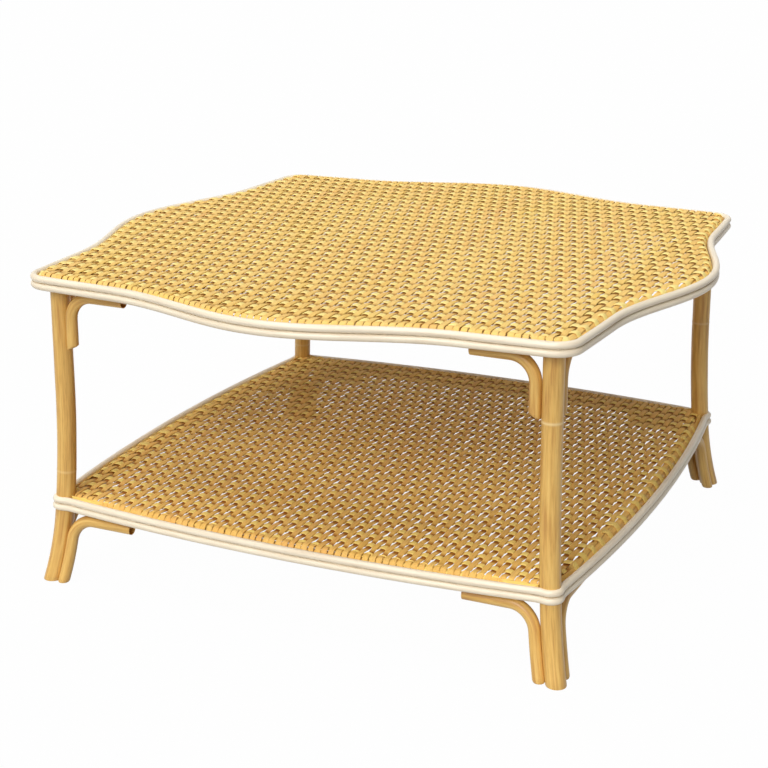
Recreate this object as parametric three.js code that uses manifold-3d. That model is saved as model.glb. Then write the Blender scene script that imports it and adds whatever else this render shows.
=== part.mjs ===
// Square two-tier coffee table of bent rattan poles with woven cane top and shelf.
// Millimetres, +Z up, origin on the floor under the middle of the table, front towards -Y.
import * as THREE from "three";
import { mergeVertices } from "three/addons/utils/BufferGeometryUtils.js";
import Module from "manifold-3d";

const wasm = await Module();
wasm.setup();

// The whole table
const tableHeight = 480;
const shelfHeight = 135;
const legSpacing = 759;

// Rattan stock
const legDiameter = 29;
const railDiameter = 21;
const edgePoleDiameter = 12;
const shelfPoleDiameter = 20;
const braceDiameter = 17.5;
const rimRodDiameter = 10.5;

// Fits
const clearance = 0.3;
const poleClearance = 0.1;
const edgePoleClearance = 1.8;
const cutOverrun = 20;

// Outline of the top, along the middle line of its rim rods
const topBow = 13.6;
const swellHeight = 55;
const swellHalfWidth = 266;
const topCornerRadius = 33;

// Outline of the shelf, along the middle line of its rim rods
const shelfBow = 35;
const shelfTuck = 10;
const shelfTurnRadius = 60;
const shelfWrapProud = 4.5;

// Woven panels: strands that run front to back, crossed by wider weavers
const strandLayer = 4.6;
const weaverProud = 0.8;
const weaverWidth = 8.8;
const weaverPitch = 30.5;
const weaverSink = 1;
const wrapLayer = 1.4;
const wrapDepth = 17;
const panelEdgeRadius = 4;
const rimDrop = 2;

// A plain grid of openings that stands for the slits between the strands
const openingsAcross = 8;
const openingStep = 3;
const openingWidth = 57;
const openingEase = 0.5;

// Legs that splay out a little above the shelf, and feet that lean out further below it
const splayTop = 300;
const splayLean = THREE.MathUtils.degToRad(5.5);
const footLean = THREE.MathUtils.degToRad(18);

// Braces between the legs and the poles above them
const braceReach = 109;
const shelfBraceReach = 119;
const braceOutsets = { front_left: 6.5, front_right: 2.5, back_right: 4, back_left: 4 };
const braceDrop = 80;
const braceCut = THREE.MathUtils.degToRad(24);
const braceBendRadii = { front_left: 36, front_right: 36, back_right: 34, back_left: 35 };
const shelfBraceBendRadius = 33;

// Growth rings of the leg poles
const growthRingProud = 0.5;
const growthRingLength = 5;
const growthRingHeights = { front_left: 172, front_right: 365, back_right: 295, back_left: 160 };

// Wood screws that hold the poles to the legs
const screwShank = 5;
const screwHead = 9.6;
const screwHeadDepth = 3;
const screwLength = 56;
const screwTip = 6;
const screwRecess = 2;
const topScrewStagger = 10;
const shelfScrewStagger = 10;

// Facets
const legSides = 16;
const poleSides = 12;
const edgePoleSides = 8;
const braceSides = 8;
const rodSides = 8;
const screwSides = 6;
const swellSteps = 12;
const flatSteps = 2;
const cornerSteps = 4;
const bowSteps = 5;
const wrapSteps = 3;
const turnSteps = 2;
const bendSteps = 5;
const splaySteps = 3;
const footSteps = 4;

// Where things come to rest, worked out from the sizes above
const legReach = legSpacing / 2;
const legRadius = legDiameter / 2;
const rodRadius = rimRodDiameter / 2;
const weave = strandLayer + weaverProud;
const wrapStack = rodRadius + clearance + wrapLayer + clearance;
const topRimAtLeg = legReach + legRadius + edgePoleClearance + edgePoleDiameter + wrapStack;
const topPoleTop = tableHeight - weave - clearance;
const shelfPoleTop = shelfHeight - weave - clearance;
const railHeight = topPoleTop - railDiameter / 2;
const edgePoleHeight = topPoleTop - edgePoleDiameter / 2;
const shelfPoleHeight = shelfPoleTop - shelfPoleDiameter / 2;
const topRimHeight = tableHeight - rimDrop - rodRadius;
const shelfRimHeight = shelfHeight - rimDrop - rodRadius;
const rodPitch = rimRodDiameter + clearance;
const footTop = shelfRimHeight - rodPitch - rodRadius - clearance;
const splayRadius = (splayTop - footTop) / Math.sin(splayLean);
const footRadius = footTop / (Math.sin(footLean) - Math.sin(splayLean));
const shelfLegReach = legPlace(shelfRimHeight - rodPitch / 2);
const braceUnderRail = (railDiameter + braceDiameter) / 2 + poleClearance;
const shelfBraceHeight = shelfPoleTop - shelfPoleDiameter - poleClearance - braceDiameter / 2;
const quarterTurn = Math.PI / 2;

const corners = [
  { name: "front_left", x: -1, y: -1 },
  { name: "front_right", x: 1, y: -1 },
  { name: "back_right", x: 1, y: 1 },
  { name: "back_left", x: -1, y: 1 },
];
const sides = ["back", "left", "front", "right"];

// Finishes
const finishes = {
  pole: new THREE.MeshStandardMaterial({ color: 0xd2a85c, roughness: 0.42, metalness: 0 }),
  rod: new THREE.MeshStandardMaterial({ color: 0xf3e6cf, roughness: 0.45, metalness: 0 }),
  weave: new THREE.MeshStandardMaterial({ color: 0xd9b56a, roughness: 0.5, metalness: 0 }),
  screw: new THREE.MeshStandardMaterial({ color: 0x8c8c8c, roughness: 0.35, metalness: 1 }),
};

const table = new THREE.Group();

function solidOf(geometry) {
  const bare = geometry.clone();
  bare.deleteAttribute("normal");
  bare.deleteAttribute("uv");
  const merged = mergeVertices(bare);
  return new wasm.Manifold(
    new wasm.Mesh({
      numProp: 3,
      vertProperties: Float32Array.from(merged.attributes.position.array),
      triVerts: Uint32Array.from(merged.index.array),
    })
  );
}

function geometryOf(solid) {
  const mesh = solid.getMesh();
  const geometry = new THREE.BufferGeometry();
  geometry.setAttribute("position", new THREE.BufferAttribute(mesh.vertProperties, mesh.numProp));
  geometry.setIndex(new THREE.BufferAttribute(mesh.triVerts, 1));
  geometry.computeVertexNormals();
  return geometry;
}

function addPiece(name, geometry, finish) {
  const mesh = new THREE.Mesh(geometry, finishes[finish]);
  mesh.name = name;
  table.add(mesh);
}

// A route with one station for each ring of the tube that follows it
class Route extends THREE.Curve {
  constructor(stations) {
    super();
    this.stations = stations;
  }

  stationAt(share) {
    return this.stations[Math.round(share * (this.stations.length - 1))];
  }

  getPoint(share) {
    return this.stationAt(share).point.clone();
  }

  getPointAt(share) {
    return this.getPoint(share);
  }

  getTangentAt(share) {
    return this.stationAt(share).tangent.clone().normalize();
  }
}

function station(point, tangent) {
  return { point, tangent };
}

// A round section along a route: an arc is drawn with two facets for each curve segment
function tube(stations, diameter, sideCount) {
  const section = new THREE.Shape();
  section.absarc(0, 0, diameter / 2, 0, 2 * Math.PI);
  return new THREE.ExtrudeGeometry(section, {
    steps: stations.length - 1,
    curveSegments: sideCount / 2,
    extrudePath: new Route(stations),
  });
}

// A bar between two points, with round section
function bar(from, to, diameter, sideCount) {
  const run = new THREE.Vector3().subVectors(to, from);
  return tube([station(from, run), station(to, run)], diameter, sideCount);
}

// A box that covers everything under the floor
function underFloor() {
  const span = 2 * (legSpacing + cutOverrun);
  const box = new THREE.BoxGeometry(span, span, 2 * cutOverrun);
  return solidOf(box.translate(0, 0, -cutOverrun));
}

// How far a leg has leaned out at a height, and how steeply it leans there
function legShift(height) {
  if (height > splayTop) {
    return { shift: 0, slope: 0 };
  }
  if (height > footTop) {
    const lean = Math.asin((splayTop - height) / splayRadius);
    return { shift: splayRadius * (1 - Math.cos(lean)), slope: Math.tan(lean) };
  }
  const splay = splayRadius * (1 - Math.cos(splayLean));
  const lean = Math.asin(Math.sin(splayLean) + (footTop - height) / footRadius);
  const shift = splay + footRadius * (Math.cos(splayLean) - Math.cos(lean));
  return { shift, slope: Math.tan(lean) };
}

// How far from the table's middle a leg's axis is along X and Y at a height
function legPlace(height) {
  return legReach + legShift(height).shift / Math.SQRT2;
}

// Moves a station of an upright leg, or of what lies beside it, out with the leg
function leanWithLeg(entry, corner) {
  const { shift, slope } = legShift(entry.point.z);
  const outward = new THREE.Vector3(corner.x, corner.y, 0).normalize();
  const point = entry.point.clone().addScaledVector(outward, shift);
  const tangent = entry.tangent.clone().addScaledVector(outward, -slope * entry.tangent.z);
  return station(point, tangent);
}

function legAxis(corner, height) {
  return new THREE.Vector3(corner.x * legReach, corner.y * legReach, height);
}

// Heights of the rings of a pole that follows the foot
function footHeights() {
  const heights = [];
  for (let step = 0; step <= footSteps; step += 1) {
    const lean = splayLean + ((footLean - splayLean) * step) / footSteps;
    heights.push(footTop - footRadius * (Math.sin(lean) - Math.sin(splayLean)));
  }
  heights.push(-cutOverrun / 2);
  return heights;
}

// Heights of the rings of a leg through its splay, which ends where the foot begins
function splayHeights() {
  const heights = [];
  for (let step = 0; step < splaySteps; step += 1) {
    heights.push(splayTop + ((footTop - splayTop) * step) / splaySteps);
  }
  return heights;
}

// Radius of an arc from half of its chord and its rise
function bowRadius(halfChord, rise) {
  return (halfChord ** 2 + rise ** 2) / (2 * rise);
}

function turned(entry, angle) {
  const up = new THREE.Vector3(0, 0, 1);
  return station(
    entry.point.clone().applyAxisAngle(up, angle),
    entry.tangent.clone().applyAxisAngle(up, angle)
  );
}

function mirroredBack(entry) {
  const point = new THREE.Vector3(-entry.point.x, entry.point.y, entry.point.z);
  const tangent = new THREE.Vector3(entry.tangent.x, -entry.tangent.y, entry.tangent.z);
  return station(point, tangent);
}

// Outline of the top at an inset from the rim's middle line. The back side is drawn and the others are
// turned copies. A side is a shallow bow with a cosine swell in its middle, and a fillet joins two bows.
const topBowRadius = bowRadius(legReach, topBow);
const topBowCentre = topRimAtLeg + topBow - topBowRadius;
const topCornerPlace = cornerCentre(topBowCentre, topBowRadius - topCornerRadius);
const topCornerStart = Math.atan2(topCornerPlace, topCornerPlace - topBowCentre);

// Where the diagonal of the table is at a given distance from the bow's centre
function cornerCentre(bowCentre, distance) {
  return (bowCentre + Math.sqrt(2 * distance ** 2 - bowCentre ** 2)) / 2;
}

function topSideStation(x, inset, height) {
  const level = Math.sqrt(topBowRadius ** 2 - x ** 2);
  const phase = (Math.PI * x) / swellHalfWidth;
  const inSwell = Math.abs(x) < swellHalfWidth;
  const rise = inSwell ? (swellHeight * (1 + Math.cos(phase))) / 2 : 0;
  const riseSlope = inSwell ? (-swellHeight * Math.PI * Math.sin(phase)) / (2 * swellHalfWidth) : 0;
  const slope = riseSlope - x / level;
  const outward = new THREE.Vector3(-slope, 1, 0).normalize();
  const point = new THREE.Vector3(x, topBowCentre + level + rise, height);
  point.addScaledVector(outward, -inset);
  return station(point, new THREE.Vector3(-1, -slope, 0).normalize());
}

function cornerStation(angle, inset, height) {
  const radius = topCornerRadius - inset;
  const point = new THREE.Vector3(
    topCornerPlace + radius * Math.sin(angle),
    topCornerPlace + radius * Math.cos(angle),
    height
  );
  return station(point, new THREE.Vector3(-Math.cos(angle), Math.sin(angle), 0));
}

// Stations of one side from its right end to its left end, its corner fillets left out
function topSide(inset, height) {
  const end = topCornerPlace + topCornerRadius * Math.sin(topCornerStart);
  const places = [];
  for (let step = 0; step < flatSteps; step += 1) {
    places.push(end + ((swellHalfWidth - end) * step) / flatSteps);
  }
  for (let step = 0; step <= swellSteps; step += 1) {
    places.push(swellHalfWidth * (1 - (2 * step) / swellSteps));
  }
  for (let step = flatSteps - 1; step >= 0; step -= 1) {
    places.push(-(end + ((swellHalfWidth - end) * step) / flatSteps));
  }
  return places.map((x) => topSideStation(x, inset, height));
}

// Stations of the fillet at a side's right end, from a starting angle to the side
function topCorner(fromAngle, steps, inset, height) {
  const stations = [];
  for (let step = 0; step < steps; step += 1) {
    const angle = fromAngle + ((topCornerStart - fromAngle) * step) / steps;
    stations.push(cornerStation(angle, inset, height));
  }
  return stations;
}

function topLoop(inset, height) {
  const unit = [
    ...topCorner(quarterTurn - topCornerStart, cornerSteps, inset, height),
    ...topSide(inset, height),
  ];
  return sides.flatMap((_, turn) => unit.map((entry) => turned(entry, turn * quarterTurn)));
}

// Outline of the shelf: bowed sides, and at each leg a turn out and a wrap that lies in a groove of the leg
const shelfBowRadius = bowRadius(shelfLegReach, shelfBow - shelfTuck);
const shelfBowCentre = shelfLegReach + shelfBow - shelfBowRadius;
const wrapRadius = legRadius + shelfWrapProud - rodRadius;

// The centre of the small turn, which touches the bow and the wrap from outside
function turnCentre(place) {
  const toLeg = wrapRadius + shelfTurnRadius;
  const toBow = shelfBowRadius + shelfTurnRadius;
  const apart = Math.hypot(place, place - shelfBowCentre);
  const along = (apart ** 2 + toLeg ** 2 - toBow ** 2) / (2 * apart);
  const aside = Math.sqrt(toLeg ** 2 - along ** 2);
  const ux = -place / apart;
  const uy = (shelfBowCentre - place) / apart;
  return { x: place + ux * along + uy * aside, y: place + uy * along - ux * aside };
}

function arcStation(centre, radius, angle, height, sense) {
  const point = new THREE.Vector3(
    centre.x + radius * Math.sin(angle),
    centre.y + radius * Math.cos(angle),
    height
  );
  return station(point, new THREE.Vector3(-sense * Math.cos(angle), sense * Math.sin(angle), 0));
}

// Stations from the leg's outer corner to the middle of the back side
function shelfHalfSide(height) {
  const place = legPlace(height);
  const leg = { x: place, y: place };
  const shelfTurn = turnCentre(place);
  const bow = { x: 0, y: shelfBowCentre };
  const wrapEnd = Math.atan2(shelfTurn.x - leg.x, shelfTurn.y - leg.y);
  const bowStart = Math.atan2(shelfTurn.x - bow.x, shelfTurn.y - bow.y);
  const stations = [];
  for (let step = 0; step <= wrapSteps; step += 1) {
    const angle = quarterTurn / 2 + ((wrapEnd - quarterTurn / 2) * step) / wrapSteps;
    stations.push(arcStation(leg, wrapRadius, angle, height, 1));
  }
  for (let step = 1; step < turnSteps; step += 1) {
    const angle = Math.PI + wrapEnd + ((bowStart - wrapEnd) * step) / turnSteps;
    stations.push(arcStation(shelfTurn, shelfTurnRadius, angle, height, -1));
  }
  for (let step = 0; step <= bowSteps; step += 1) {
    const angle = bowStart * (1 - step / bowSteps);
    stations.push(arcStation(bow, shelfBowRadius, angle, height, 1));
  }
  return stations;
}

function shelfRimLoop(height) {
  const half = shelfHalfSide(height);
  const rest = half.slice(1, -1).reverse().map(mirroredBack);
  const unit = [...half, ...rest];
  return sides.flatMap((_, turn) => unit.map((entry) => turned(entry, turn * quarterTurn)));
}

// One bowed side of the shelf at an inset, from leg to leg
function shelfSide(inset, height) {
  const reach = Math.asin(shelfLegReach / shelfBowRadius);
  const stations = [];
  for (let step = 0; step <= bowSteps; step += 1) {
    const angle = reach * (1 - (2 * step) / bowSteps);
    stations.push(arcStation({ x: 0, y: shelfBowCentre }, shelfBowRadius - inset, angle, height, 1));
  }
  return stations;
}

// The shelf's panel outline, whose bows meet on the diagonals, inside the legs
function shelfLoop(inset, height) {
  const radius = shelfBowRadius - inset;
  const place = cornerCentre(shelfBowCentre, radius);
  const reach = Math.asin(place / radius);
  const stations = [];
  for (let step = 0; step < 2 * bowSteps; step += 1) {
    const angle = reach * (1 - step / bowSteps);
    stations.push(arcStation({ x: 0, y: shelfBowCentre }, radius, angle, height, 1));
  }
  return sides.flatMap((_, turn) => stations.map((entry) => turned(entry, turn * quarterTurn)));
}

// A closed solid between rings of equal count, its first and last ring capped
function loft(rings) {
  const count = rings[0].length;
  const flat = (ring) => ring.map((point) => new THREE.Vector2(point.x, point.y));
  const positions = rings.flat().flatMap((point) => [point.x, point.y, point.z]);
  const index = [];
  for (let row = 0; row + 1 < rings.length; row += 1) {
    for (let i = 0; i < count; i += 1) {
      const next = (i + 1) % count;
      const [a, b] = [row * count + i, row * count + next];
      index.push(a, a + count, b, b, a + count, b + count);
    }
  }
  const lastRow = (rings.length - 1) * count;
  for (const [a, b, c] of THREE.ShapeUtils.triangulateShape(flat(rings[0]), [])) {
    index.push(a, b, c);
  }
  for (const [a, b, c] of THREE.ShapeUtils.triangulateShape(flat(rings.at(-1)), [])) {
    index.push(lastRow + a, lastRow + c, lastRow + b);
  }
  const geometry = new THREE.BufferGeometry();
  geometry.setAttribute("position", new THREE.Float32BufferAttribute(positions, 3));
  geometry.setIndex(index);
  return geometry;
}

// A woven panel: a sheet whose edge rolls down over its pole, with the weavers standing a little proud
function wovenPanel(loop, height) {
  const sheetTop = height - weaverProud;
  const outer = rodRadius + clearance;
  const ring = (inset, z) => loop(inset, z).map((entry) => entry.point);
  const roundShare = Math.SQRT1_2;
  const rings = [
    ring(outer + panelEdgeRadius, sheetTop),
    ring(
      outer + panelEdgeRadius * (1 - roundShare),
      sheetTop - panelEdgeRadius * (1 - roundShare)
    ),
    ring(outer, sheetTop - panelEdgeRadius),
    ring(outer, height - wrapDepth),
    ring(outer + wrapLayer, height - wrapDepth),
    ring(outer + wrapLayer, height - weave),
  ];
  const sheet = solidOf(loft(rings));
  const field = solidOf(
    loft([ring(outer + panelEdgeRadius, height), ring(outer + panelEdgeRadius, sheetTop - weaverSink)])
  );
  const span = 2 * (topRimAtLeg + topBow + swellHeight);
  const rows = Math.floor(span / 2 / weaverPitch);
  let weavers = null;
  for (let row = -rows; row <= rows; row += 1) {
    const depth = 2 * (weaverProud + weaverSink);
    const strip = new THREE.BoxGeometry(span, weaverWidth, depth);
    const weaver = solidOf(strip.translate(0, row * weaverPitch, height));
    weavers = weavers ? weavers.add(weaver) : weaver;
  }
  const closed = sheet.add(weavers.intersect(field));
  return openings().reduce((rest, opening) => rest.subtract(opening), closed);
}

// The grid of openings, which all lie between two weavers and leave the table's middle whole
function openings() {
  const length = weaverPitch - weaverWidth - 2 * openingEase;
  const place = (number) => openingStep * weaverPitch * (number - (openingsAcross - 1) / 2);
  const solids = [];
  for (let column = 0; column < openingsAcross; column += 1) {
    for (let row = 0; row < openingsAcross; row += 1) {
      const opening = new THREE.BoxGeometry(openingWidth, length, 2 * tableHeight);
      solids.push(solidOf(opening.translate(place(column), place(row), 0)));
    }
  }
  return solids;
}

// A wood screw with a countersunk head, lying along +X, its head's face at the origin
function screwProfile(extra) {
  const shank = screwShank / 2 + extra;
  const head = screwHead / 2 + extra;
  return { shank, head };
}

function screw() {
  const { shank, head } = screwProfile(0);
  const outline = [
    new THREE.Vector2(0, 0),
    new THREE.Vector2(head, 0),
    new THREE.Vector2(shank, screwHeadDepth),
    new THREE.Vector2(shank, screwLength - screwTip),
    new THREE.Vector2(0, screwLength),
  ];
  return new THREE.LatheGeometry(outline, screwSides).rotateZ(-quarterTurn);
}

function screwBore() {
  const { shank, head } = screwProfile(clearance);
  const outline = [
    new THREE.Vector2(0, -cutOverrun),
    new THREE.Vector2(head, -cutOverrun),
    new THREE.Vector2(head, 0),
    new THREE.Vector2(shank, screwHeadDepth),
    new THREE.Vector2(shank, screwLength + clearance),
    new THREE.Vector2(0, screwLength + clearance),
  ];
  return new THREE.LatheGeometry(outline, screwSides).rotateZ(-quarterTurn);
}

// The four screws of a leg: two into the rails and two into the shelf poles
const shelfPoleInset = wrapStack + shelfPoleDiameter / 2;
const shelfPoleEnd = shelfLegReach - legRadius;
const shelfPoleLine = shelfBowCentre + Math.sqrt((shelfBowRadius - shelfPoleInset) ** 2 - shelfPoleEnd ** 2);

const grooveFace = wrapRadius - rodRadius - clearance;

function screwSeat(tier, along, line, height) {
  const face = tier === "top" ? legRadius : grooveFace;
  return { tier, along, leg: legPlace(height), line, height, face };
}

const screwSeats = [
  screwSeat("top", "x", legReach, railHeight + topScrewStagger / 2),
  screwSeat("top", "y", legReach, railHeight - topScrewStagger / 2),
  screwSeat("shelf", "x", shelfPoleLine, shelfPoleHeight + shelfScrewStagger / 2),
  screwSeat("shelf", "y", shelfPoleLine, shelfPoleHeight - shelfScrewStagger / 2),
];

function seatScrew(geometry, corner, seat) {
  const aside = seat.line - seat.leg;
  const start = seat.leg + Math.sqrt(seat.face ** 2 - aside ** 2) - screwRecess;
  if (seat.along === "x") {
    geometry.rotateZ(corner.x > 0 ? Math.PI : 0);
    return geometry.translate(corner.x * start, corner.y * seat.line, seat.height);
  }
  geometry.rotateZ(corner.y > 0 ? -quarterTurn : quarterTurn);
  return geometry.translate(corner.x * seat.line, corner.y * start, seat.height);
}

const screwBores = corners.flatMap((corner) =>
  screwSeats.map((seat) => solidOf(seatScrew(screwBore(), corner, seat)))
);

function boredForScrews(solid) {
  return screwBores.reduce((rest, bore) => rest.subtract(bore), solid);
}

const floorCut = underFloor();

function legRoute(corner, top) {
  const down = new THREE.Vector3(0, 0, -1);
  const heights = [top, ...splayHeights(), ...footHeights()];
  return heights.map((height) => leanWithLeg(station(legAxis(corner, height), down), corner));
}

// A ring of slightly raised bark where a leaf once grew
function growthRing(corner) {
  const outline = [
    new THREE.Vector2(0, -growthRingLength / 2),
    new THREE.Vector2(legRadius, -growthRingLength / 2),
    new THREE.Vector2(legRadius + growthRingProud, 0),
    new THREE.Vector2(legRadius, growthRingLength / 2),
    new THREE.Vector2(0, growthRingLength / 2),
  ];
  const ring = new THREE.LatheGeometry(outline, legSides).rotateX(quarterTurn);
  const upright = station(legAxis(corner, growthRingHeights[corner.name]), new THREE.Vector3());
  const place = leanWithLeg(upright, corner).point;
  return ring.translate(place.x, place.y, place.z);
}

// Grooves in the legs for the shelf's rim rods
const wrapGrooves = [shelfRimHeight, shelfRimHeight - rodPitch].flatMap((height) => {
  const loop = shelfRimLoop(height);
  const reach = wrapSteps + turnSteps + 1;
  const wrap = [...loop.slice(-reach), ...loop.slice(0, reach + 1)];
  return sides.map((_, turn) => {
    const route = wrap.map((entry) => turned(entry, turn * quarterTurn));
    return solidOf(tube(route, rimRodDiameter + 2 * clearance, rodSides));
  });
});

function groovedForRim(solid) {
  return wrapGrooves.reduce((rest, groove) => rest.subtract(groove), solid);
}

function addLeg(corner) {
  const pole = solidOf(tube(legRoute(corner, topPoleTop), legDiameter, legSides));
  const ringed = pole.add(solidOf(growthRing(corner)));
  const grooved = groovedForRim(boredForScrews(ringed));
  addPiece(`leg_${corner.name}`, geometryOf(grooved.subtract(floorCut)), "pole");
}

// Cuts the seats of the four legs into whatever ends against them
const legSeats = corners.map((corner) => {
  const route = legRoute(corner, tableHeight + cutOverrun);
  return solidOf(tube(route, legDiameter + 2 * clearance, legSides));
});

function seatedOnLegs(solid) {
  return legSeats.reduce((rest, seat) => rest.subtract(seat), solid);
}

// The back quarter of the plan, between the mitres with the poles of the next two sides
function backQuarter() {
  const start = clearance / Math.SQRT2;
  const plan = new THREE.Shape([
    new THREE.Vector2(0, start),
    new THREE.Vector2(legSpacing, legSpacing + start),
    new THREE.Vector2(-legSpacing, legSpacing + start),
  ]);
  return solidOf(new THREE.ExtrudeGeometry(plan, { depth: tableHeight, bevelEnabled: false }));
}

// Fits a pole of the back side between its legs, then turns it to the side where it belongs
function addPoleBetweenLegs(name, pole, turn) {
  const fitted = seatedOnLegs(solidOf(pole).intersect(backQuarter()));
  const placed = solidOf(geometryOf(fitted).rotateZ(turn * quarterTurn));
  addPiece(name, geometryOf(boredForScrews(placed)), "pole");
}

function addRail(turn) {
  const from = new THREE.Vector3(legReach, legReach, railHeight);
  const to = new THREE.Vector3(-legReach, legReach, railHeight);
  addPoleBetweenLegs(`top_rail_${sides[turn]}`, bar(from, to, railDiameter, poleSides), turn);
}

function addShelfPole(turn) {
  const pole = tube(shelfSide(shelfPoleInset, shelfPoleHeight), shelfPoleDiameter, poleSides);
  addPoleBetweenLegs(`shelf_pole_${sides[turn]}`, pole, turn);
}

// A scalloped pole under the top's edge, mitred at both corners
function addEdgePole(turn) {
  const inset = wrapStack + edgePoleDiameter / 2;
  const rightEnd = topCorner(quarterTurn / 2, cornerSteps / 2, inset, edgePoleHeight);
  rightEnd[0].point.addScaledVector(rightEnd[0].tangent, clearance / 2);
  const leftEnd = rightEnd.slice().reverse().map(mirroredBack);
  const stations = [...rightEnd, ...topSide(inset, edgePoleHeight), ...leftEnd];
  const pole = tube(stations, edgePoleDiameter, edgePoleSides).rotateZ(turn * quarterTurn);
  addPiece(`top_edge_pole_${sides[turn]}`, pole, "pole");
}

// A rim rod: a loop whose two ends butt together in the middle of the back
function addRimRod(name, loop) {
  const middle = loop.findIndex((entry) => Math.abs(entry.point.x) < clearance);
  const { point, tangent } = loop[middle];
  const halfGap = new THREE.Vector3(clearance / 2, 0, 0);
  const start = station(point.clone().sub(halfGap), tangent);
  const end = station(point.clone().add(halfGap), tangent);
  const route = [start, ...loop.slice(middle + 1), ...loop.slice(0, middle), end];
  addPiece(name, tube(route, rimRodDiameter, rodSides), "rod");
}

// Each leg has braces on both of its sides, under the top and under the shelf
function braceRoute(corner, along, brace) {
  const outset = braceOutsets[corner.name];
  const beside = Math.sqrt((legRadius + braceDiameter / 2 + poleClearance) ** 2 - outset ** 2);
  const place = (inwards, outwards, z) =>
    along === "x"
      ? new THREE.Vector3(corner.x * (legReach - inwards), corner.y * (legReach + outwards), z)
      : new THREE.Vector3(corner.x * (legReach + outwards), corner.y * (legReach - inwards), z);
  const heading = (inwards, z) => {
    const run = place(inwards, 0, z).sub(place(0, 0, 0));
    return run.normalize();
  };
  const stations = [
    station(place(brace.reach + cutOverrun, outset, brace.height), heading(-1, 0)),
  ];
  for (let step = 0; step <= bendSteps; step += 1) {
    const angle = (quarterTurn * step) / bendSteps;
    const inwards = beside + brace.bendRadius * (1 - Math.sin(angle));
    const z = brace.height - brace.bendRadius * (1 - Math.cos(angle));
    stations.push(station(place(inwards, outset, z), heading(-Math.cos(angle), -Math.sin(angle))));
  }
  for (const z of brace.low) {
    stations.push(station(place(beside, outset, z), heading(0, -1)));
  }
  return stations;
}

// A block whose face cuts a pole's end on a slant
function slantCut(corner, along, centre, tilt) {
  const size = 2 * cutOverrun;
  const block = new THREE.BoxGeometry(size, 2 * size, 2 * size).translate(size / 2, 0, 0);
  block.rotateY(tilt);
  const inward = Math.atan2(
    along === "x" ? 0 : -corner.y,
    along === "x" ? -corner.x : 0
  );
  block.rotateZ(inward);
  return solidOf(block.translate(centre.x, centre.y, centre.z));
}

// The tip of a brace's arm, from the first station of its route
function braceTip(stations, corner, along) {
  const tip = stations[0].point.clone();
  const tipStep = along === "x" ? corner.x : corner.y;
  tip[along] += tipStep * cutOverrun;
  return tip;
}

function addTopBrace(corner, along) {
  const height = railHeight - Math.sqrt(braceUnderRail ** 2 - braceOutsets[corner.name] ** 2);
  const foot = height - braceDrop;
  const bendRadius = braceBendRadii[corner.name];
  const low = [foot - cutOverrun];
  const stations = braceRoute(corner, along, { reach: braceReach, height, bendRadius, low });
  const lower = stations.at(-1).point.clone().setZ(foot);
  const cut = solidOf(tube(stations, braceDiameter, braceSides))
    .subtract(slantCut(corner, along, braceTip(stations, corner, along), braceCut))
    .subtract(slantCut(corner, along, lower, quarterTurn - braceCut));
  addPiece(`top_brace_${corner.name}_${along}`, geometryOf(cut), "pole");
}

function addShelfBrace(corner, along) {
  const height = shelfBraceHeight;
  const bendRadius = shelfBraceBendRadius;
  const low = footHeights().filter((level) => level < height - bendRadius);
  const straight = braceRoute(corner, along, { reach: shelfBraceReach, height, bendRadius, low });
  const stations = straight.map((entry) => leanWithLeg(entry, corner));
  const cut = solidOf(tube(stations, braceDiameter, braceSides))
    .subtract(slantCut(corner, along, braceTip(stations, corner, along), braceCut))
    .subtract(floorCut);
  addPiece(`shelf_brace_${corner.name}_${along}`, geometryOf(cut), "pole");
}

for (const corner of corners) {
  addLeg(corner);
  for (const along of ["x", "y"]) {
    addTopBrace(corner, along);
    addShelfBrace(corner, along);
  }
  for (const seat of screwSeats) {
    const name = `${seat.tier}_screw_${corner.name}_${seat.along}`;
    addPiece(name, seatScrew(screw(), corner, seat), "screw");
  }
}

for (const turn of sides.keys()) {
  addRail(turn);
  addEdgePole(turn);
  addShelfPole(turn);
}

addRimRod("top_rim_rod_upper", topLoop(0, topRimHeight));
addRimRod("top_rim_rod_lower", topLoop(0, topRimHeight - rodPitch));
addRimRod("shelf_rim_rod_upper", shelfRimLoop(shelfRimHeight));
addRimRod("shelf_rim_rod_lower", shelfRimLoop(shelfRimHeight - rodPitch));

addPiece("top_woven_panel", geometryOf(wovenPanel(topLoop, tableHeight)), "weave");
addPiece("shelf_woven_panel", geometryOf(seatedOnLegs(wovenPanel(shelfLoop, shelfHeight))), "weave");

export default table;
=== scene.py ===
"""Dresses a square two-tier coffee table of bent rattan poles and woven cane.

Metres, +Z up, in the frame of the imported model. Outlines repeat the model's own formulas."""

import math

import bmesh
import bpy
import numpy as np
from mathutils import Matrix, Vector


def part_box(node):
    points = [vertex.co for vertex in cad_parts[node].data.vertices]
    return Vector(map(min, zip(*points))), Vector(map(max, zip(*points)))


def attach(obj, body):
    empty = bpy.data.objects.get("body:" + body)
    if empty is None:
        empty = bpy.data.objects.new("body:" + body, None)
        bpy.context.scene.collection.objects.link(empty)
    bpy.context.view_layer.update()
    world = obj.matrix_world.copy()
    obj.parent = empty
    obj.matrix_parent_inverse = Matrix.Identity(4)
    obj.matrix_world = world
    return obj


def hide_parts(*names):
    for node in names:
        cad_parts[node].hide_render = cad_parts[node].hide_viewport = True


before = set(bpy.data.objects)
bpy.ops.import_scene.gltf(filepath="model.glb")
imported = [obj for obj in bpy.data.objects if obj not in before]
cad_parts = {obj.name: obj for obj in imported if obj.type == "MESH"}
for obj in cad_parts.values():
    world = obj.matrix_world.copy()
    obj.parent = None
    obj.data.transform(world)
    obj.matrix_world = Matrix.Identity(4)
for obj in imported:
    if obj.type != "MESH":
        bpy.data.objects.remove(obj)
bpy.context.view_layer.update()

# The whole table, from the frame
top_low, top_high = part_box("top_woven_panel")
table_height = top_high.z
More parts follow.
